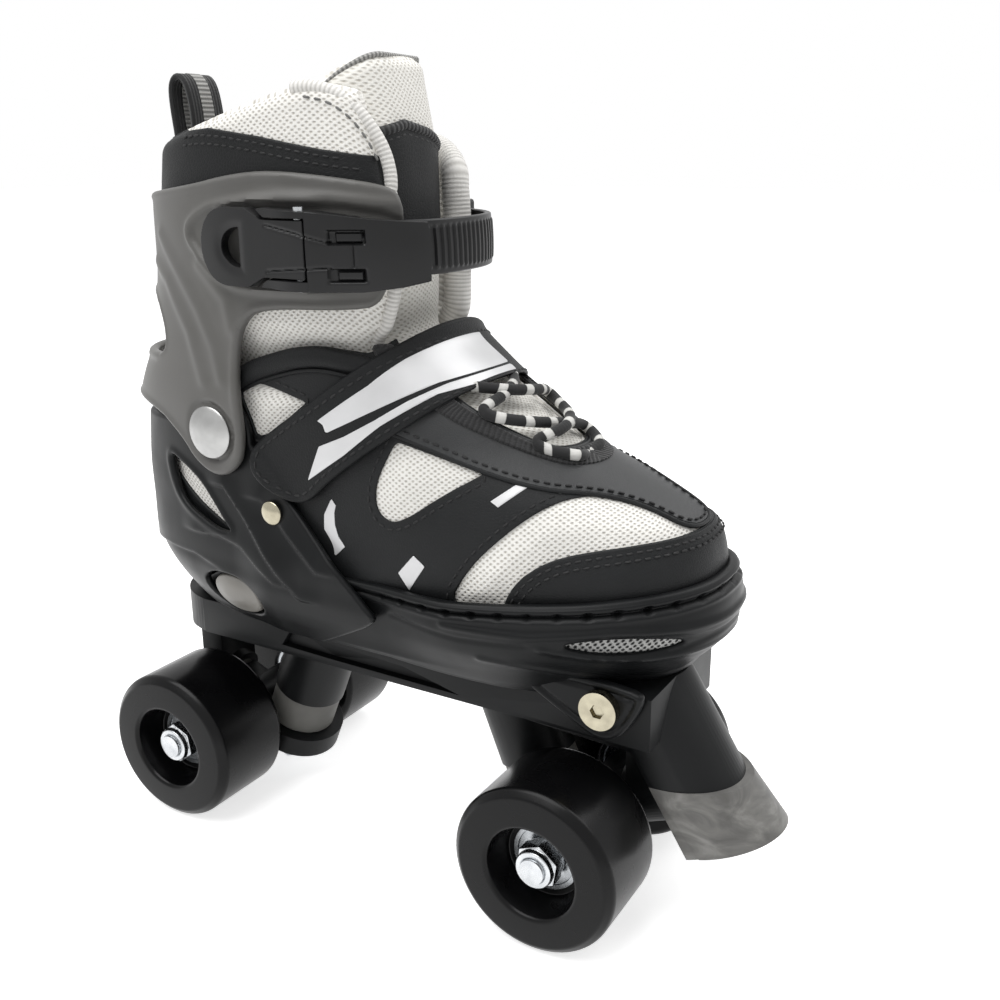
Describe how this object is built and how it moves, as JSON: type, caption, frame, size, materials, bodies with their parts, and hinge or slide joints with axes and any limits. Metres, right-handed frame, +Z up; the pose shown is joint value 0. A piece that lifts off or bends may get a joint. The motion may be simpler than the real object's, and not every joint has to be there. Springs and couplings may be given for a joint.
{
  "type": "quad roller skate",
  "caption": "Size-adjustable quad roller skate with a padded boot in hard shells, buckled ankle cuff, instep strap, steering trucks, wheels on bearings and a toe stop.",
  "frame": {"origin": "on the floor, midway between the axles and between the left and right wheels", "axes": "+X to the toe, +Y to the medial side of this right skate, +Z up"},
  "size_m": [0.2403, 0.103, 0.259],
  "materials": {
    "black_plastic": "satin injection moulded polypropylene",
    "grey_plastic": "satin injection moulded polypropylene",
    "dark_grey_plastic": "satin moulded nylon",
    "urethane": "satin cast polyurethane",
    "grey_rubber": "marbled grey polyurethane",
    "bushing_rubber": "matt grey polyurethane",
    "zinc_steel": "bright zinc plated",
    "bearing_steel": "ground bearing steel",
    "nickel": "nickel plated",
    "air_mesh": "knitted spacer mesh over foam",
    "vent_mesh": "metallised mesh",
    "strap_webbing": "embossed polyurethane on webbing",
    "black_webbing": "woven nylon",
    "insole_foam": "fabric on foam"
  },
  "bodies": {
    "base": {"chassis": "black_plastic", "toe_shell": "black_plastic", "toe_vent_meshes": "vent_mesh", "toe_lug_bolts": "nickel", "toe_stop": "grey_rubber", "toe_stop_screw": "zinc_steel", "size_rack": "dark_grey_plastic", "size_rack_screws": "zinc_steel", "kingpins": "zinc_steel", "kingpin_nuts": "zinc_steel", "kingpin_washers": "zinc_steel", "front_upper_bushing": "bushing_rubber", "rear_upper_bushing": "bushing_rubber", "front_lower_bushing": "bushing_rubber", "rear_lower_bushing": "bushing_rubber", "pivot_cups": "black_plastic", "insole": "insole_foam", "vamp": "air_mesh"},
    "heel_carriage": {"heel_shell": "black_plastic", "cuff_rivets": "nickel", "shell_rivets": "nickel", "quarter": "air_mesh", "laces": "black_webbing", "strap_root": "strap_webbing", "button_spring": "zinc_steel"},
    "cuff_group": {"cuff": "grey_plastic", "collar": "air_mesh", "tongue": "air_mesh", "pull_loop": "black_webbing", "buckle_base": "black_plastic", "lever_pin": "zinc_steel", "toothed_strap": "black_plastic", "strap_anchor": "black_plastic", "anchor_screw": "zinc_steel"},
    "instep_strap": {"instep_strap": "strap_webbing"},
    "buckle_lever": {"buckle_lever": "black_plastic"},
    "size_button": {"size_button": "dark_grey_plastic", "lock_pawl": "dark_grey_plastic"},
    "front_truck": {"front_hanger": "black_plastic", "front_axle": "zinc_steel", "front_axle_nuts": "zinc_steel", "front_axle_washers": "zinc_steel", "front_bearing_spacers": "zinc_steel"},
    "front_lateral_wheel": {"front_lateral_wheel": "urethane", "front_lateral_bearings": "bearing_steel"},
    "front_medial_wheel": {"front_medial_wheel": "urethane", "front_medial_bearings": "bearing_steel"},
    "rear_truck": {"rear_hanger": "black_plastic", "rear_axle": "zinc_steel", "rear_axle_nuts": "zinc_steel", "rear_axle_washers": "zinc_steel", "rear_bearing_spacers": "zinc_steel"},
    "rear_lateral_wheel": {"rear_lateral_wheel": "urethane", "rear_lateral_bearings": "bearing_steel"},
    "rear_medial_wheel": {"rear_medial_wheel": "urethane", "rear_medial_bearings": "bearing_steel"}
  },
  "joints": [
    {"name": "size_slide", "type": "slide", "parent": "base", "child": "heel_carriage", "axis": [-1, 0, 0], "range_m": [0, 0.02]},
    {"name": "cuff_pivot", "type": "hinge", "parent": "heel_carriage", "child": "cuff_group", "pos_m": [-0.048, 0, 0.145], "axis": [0, 1, 0], "range_deg": [-6, 6]},
    {"name": "strap_fold", "type": "hinge", "parent": "heel_carriage", "child": "instep_strap", "pos_m": [0.01503, 0.0345, 0.16062], "axis": [-0.6157, 0, 0.788], "range_deg": [0, 70]},
    {"name": "lever_pivot", "type": "hinge", "parent": "cuff_group", "child": "buckle_lever", "pos_m": [-0.004, -0.0459, 0.2045], "axis": [0, 0, 1], "range_deg": [0, 80]},
    {"name": "button_press", "type": "slide", "parent": "heel_carriage", "child": "size_button", "axis": [0, 1, 0], "range_m": [0, 0.003], "stiffness_N_per_m": 500, "springref_m": -0.002, "deforming": ["button_spring"]},
    {"name": "front_steer", "type": "hinge", "parent": "base", "child": "front_truck", "pos_m": [0.074, 0, 0.027], "axis": [-0.9272, 0, -0.3746], "range_deg": [-7, 7], "stiffness_Nm_per_rad": 30, "deforming": ["front_upper_bushing", "front_lower_bushing"]},
    {"name": "rear_steer", "type": "hinge", "parent": "base", "child": "rear_truck", "pos_m": [-0.074, 0, 0.027], "axis": [0.9272, 0, -0.3746], "range_deg": [-7, 7], "stiffness_Nm_per_rad": 30, "deforming": ["rear_upper_bushing", "rear_lower_bushing"]},
    {"name": "front_lateral_spin", "type": "hinge", "parent": "front_truck", "child": "front_lateral_wheel", "pos_m": [0.074, -0.0355, 0.027], "axis": [0, 1, 0], "continuous": true},
    {"name": "front_medial_spin", "type": "hinge", "parent": "front_truck", "child": "front_medial_wheel", "pos_m": [0.074, 0.0355, 0.027], "axis": [0, 1, 0], "continuous": true},
    {"name": "rear_lateral_spin", "type": "hinge", "parent": "rear_truck", "child": "rear_lateral_wheel", "pos_m": [-0.074, -0.0355, 0.027], "axis": [0, 1, 0], "continuous": true},
    {"name": "rear_medial_spin", "type": "hinge", "parent": "rear_truck", "child": "rear_medial_wheel", "pos_m": [-0.074, 0.0355, 0.027], "axis": [0, 1, 0], "continuous": true}
  ]
}
